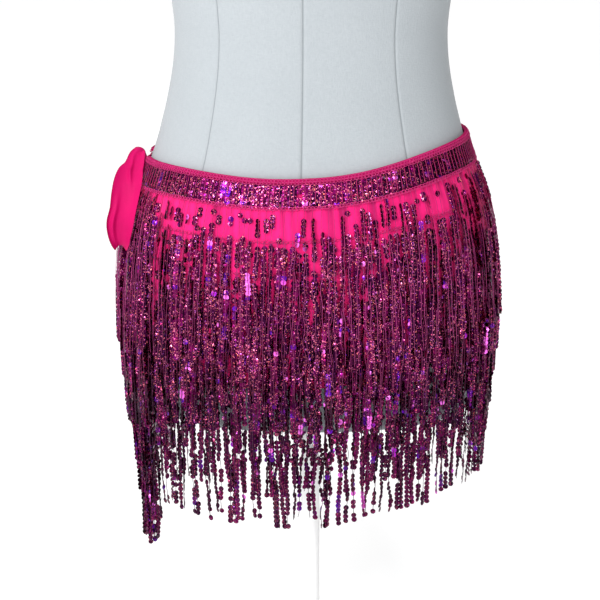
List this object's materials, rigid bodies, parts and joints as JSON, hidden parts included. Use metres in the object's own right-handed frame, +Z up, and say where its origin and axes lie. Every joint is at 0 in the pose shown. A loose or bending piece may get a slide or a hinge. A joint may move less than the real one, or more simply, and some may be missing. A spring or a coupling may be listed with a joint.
{
  "type": "belly dance hip scarf on a dress form stand",
  "caption": "Wrap hip scarf with a sequin waistband, rows of hanging sequin fringe and a side bow, worn by a limbless waist-to-hip dress form on a pole and round base.",
  "frame": {"origin": "centre of the stand's underside, on the surface it stands on", "axes": "+Z up along the pole, -Y towards the form's front, -X towards the side with the bow"},
  "size_m": [0.3643, 0.276, 0.715],
  "materials": {
    "pink_cloth": "light plain-woven polyester in hot pink",
    "pink_sash": "soft satin-faced polyester in hot pink",
    "pink_binding": "folded bias strip in hot pink, chain stitched",
    "sequins": "metallised holographic cup sequins in magenta and violet",
    "form_cloth": "pale grey-white linen stretched over the form, seamed",
    "white_metal": "satin white paint"
  },
  "bodies": {
    "root": {"hip_cloth": "pink_cloth", "top_binding": "pink_binding", "sequin_waistband": "sequins", "fringe_row_1": "sequins", "fringe_row_2": "sequins", "fringe_row_3": "sequins", "fringe_row_4": "sequins", "fringe_row_5": "sequins", "fringe_row_6": "sequins", "sash_strap": "pink_sash", "sash_knot": "pink_sash", "bow_loop": "pink_sash", "sash_tail_front": "pink_sash", "sash_tail_back": "pink_sash", "form_body": "form_cloth", "stand_base": "white_metal", "stand_collar_low": "white_metal", "stand_collar_high": "white_metal", "stand_pole": "white_metal"}
  },
  "joints": []
}
